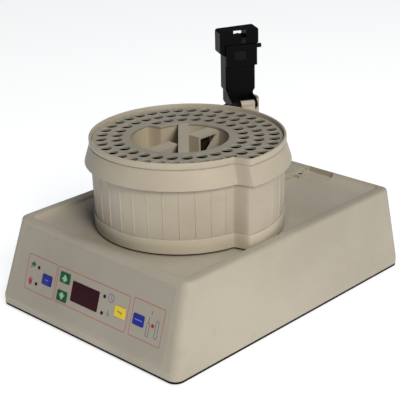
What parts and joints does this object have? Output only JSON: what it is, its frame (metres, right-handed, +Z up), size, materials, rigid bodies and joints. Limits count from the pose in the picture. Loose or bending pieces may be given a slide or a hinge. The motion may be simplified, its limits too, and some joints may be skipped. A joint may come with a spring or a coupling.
{
  "type": "fraction collector",
  "caption": "Bench fraction collector: wedge housing with keys, a lift-off spiral tube rack on a driven turntable and a folding, swinging delivery arm.",
  "frame": {"origin": "on the bench, under the middle of the housing's footprint", "axes": "+X to the right, +Y to the back, +Z up; the control panel faces -Y"},
  "size_m": [0.302, 0.412, 0.3025],
  "materials": {
    "housing_beige": "fine texture",
    "rack_beige": "fine texture",
    "plate_grey": "satin",
    "panel_film": "satin film",
    "black_plastic": "satin",
    "pan_steel": "matt",
    "foot_rubber": "matt",
    "bright_steel": "bright",
    "dark_screw": "dark",
    "red_window": "gloss",
    "board_green": "solder mask",
    "pillar_plastic": "satin",
    "coil_iron": "laminated",
    "rear_paint": "satin",
    "key_blue": "satin",
    "key_green": "satin",
    "key_yellow": "satin",
    "turntable_dark": "anodised",
    "gear_plastic": "moulded",
    "motor_dark": "satin",
    "bush_bronze": "sintered",
    "nozzle_brown": "satin"
  },
  "bodies": {
    "housing": {"top_housing": "housing_beige", "bottom_pan": "pan_steel", "rubber_feet": "foot_rubber", "pan_screws": "bright_steel", "front_overlay": "panel_film", "display_window": "red_window", "display_module": "black_plastic", "indicator_leds": "red_window", "key_board": "board_green", "key_switches": "black_plastic", "board_screws": "bright_steel", "control_board": "board_green", "board_pillars": "pillar_plastic", "transformer": "coil_iron", "rear_panel": "rear_paint", "mains_inlet": "black_plastic", "switch_frame": "black_plastic", "fuse_holder": "black_plastic", "signal_socket": "bright_steel", "bearing_housing": "bright_steel", "spindle_bearings": "bright_steel", "rack_motor": "motor_dark", "rack_motor_bracket": "bright_steel", "swing_motor": "motor_dark", "swing_motor_bracket": "bright_steel", "arm_plinth": "housing_beige", "plinth_screw": "dark_screw", "post_bushing": "bush_bronze"},
    "turntable_body": {"turntable": "turntable_dark", "rack_drive_gear": "gear_plastic"},
    "rack": {"rack_bowl": "rack_beige", "rack_well_wall": "rack_beige", "rack_foot_ring": "rack_beige", "tube_rest_pad": "foot_rubber", "guide_pillars": "plate_grey", "rack_mid_guide": "plate_grey", "rack_collar": "rack_beige", "rack_guide_plate": "plate_grey", "rack_rim": "rack_beige", "rack_handle": "rack_beige"},
    "rack_motor_shaft": {"rack_pinion": "bright_steel"},
    "swing_motor_shaft": {"swing_pinion": "bright_steel"},
    "post": {"arm_post": "rack_beige", "post_cap": "black_plastic", "swing_gear": "gear_plastic", "hinge_pin": "bright_steel"},
    "arm": {"arm_shell": "black_plastic", "arm_cover": "black_plastic", "arm_cover_screws": "bright_steel", "drop_head": "black_plastic", "sensor_window": "red_window", "delivery_nozzle": "nozzle_brown"},
    "knob": {"clamp_knob": "black_plastic"},
    "run_button": {"run_key": "key_blue"},
    "up_button": {"up_key": "key_green"},
    "down_button": {"down_key": "key_green"},
    "mode_button": {"mode_key": "key_yellow"},
    "manual_button": {"manual_key": "key_blue"},
    "rocker": {"power_rocker": "black_plastic"}
  },
  "joints": [
    {"name": "turntable_turn", "type": "hinge", "parent": "housing", "child": "turntable_body", "pos_m": [0.008, -0.0405, 0.103], "axis": [0, 0, 1], "continuous": true},
    {"name": "rack_motor_turn", "type": "hinge", "parent": "housing", "child": "rack_motor_shaft", "pos_m": [0.08, -0.0405, 0.06], "axis": [0, 0, 1], "continuous": true},
    {"name": "rack_lift", "type": "slide", "parent": "turntable_body", "child": "rack", "axis": [0, 0, 1], "range_m": [0, 0.0045]},
    {"name": "arm_swing", "type": "hinge", "parent": "housing", "child": "post", "pos_m": [-0.037, 0.11, 0.103], "axis": [0, 0, 1], "range_deg": [-46, 15]},
    {"name": "swing_motor_turn", "type": "hinge", "parent": "housing", "child": "swing_motor_shaft", "pos_m": [-0.085, 0.11, 0.08], "axis": [0, 0, 1], "range_deg": [-32, 94]},
    {"name": "arm_fold", "type": "hinge", "parent": "post", "child": "arm", "pos_m": [-0.02405, 0.10243, 0.208], "axis": [0.5045, 0.8634, 0], "range_deg": [0, 90]},
    {"name": "knob_turn", "type": "hinge", "parent": "arm", "child": "knob", "pos_m": [-0.03007, 0.13375, 0.278], "axis": [0.5045, 0.8634, 0], "range_deg": [-180, 180]},
    {"name": "run_key_press", "type": "slide", "parent": "housing", "child": "run_button", "axis": [0, 0.9507, -0.3102], "range_m": [0, 0.0006], "stiffness_N_per_m": 400, "springref_m": -0.0005},
    {"name": "up_key_press", "type": "slide", "parent": "housing", "child": "up_button", "axis": [0, 0.9507, -0.3102], "range_m": [0, 0.0006], "stiffness_N_per_m": 400, "springref_m": -0.0005},
    {"name": "down_key_press", "type": "slide", "parent": "housing", "child": "down_button", "axis": [0, 0.9507, -0.3102], "range_m": [0, 0.0006], "stiffness_N_per_m": 400, "springref_m": -0.0005},
    {"name": "mode_key_press", "type": "slide", "parent": "housing", "child": "mode_button", "axis": [0, 0.9507, -0.3102], "range_m": [0, 0.0006], "stiffness_N_per_m": 400, "springref_m": -0.0005},
    {"name": "manual_key_press", "type": "slide", "parent": "housing", "child": "manual_button", "axis": [0, 0.9507, -0.3102], "range_m": [0, 0.0006], "stiffness_N_per_m": 400, "springref_m": -0.0005},
    {"name": "power_rocker_tilt", "type": "hinge", "parent": "housing", "child": "rocker", "pos_m": [0.076, 0.19617, 0.05799], "axis": [-1, 0, 0], "range_deg": [-16, 0]}
  ],
  "couplings": [
    {"joint": "rack_motor_turn", "follows": "turntable_turn", "ratio": -4},
    {"joint": "swing_motor_turn", "follows": "arm_swing", "ratio": -2}
  ]
}
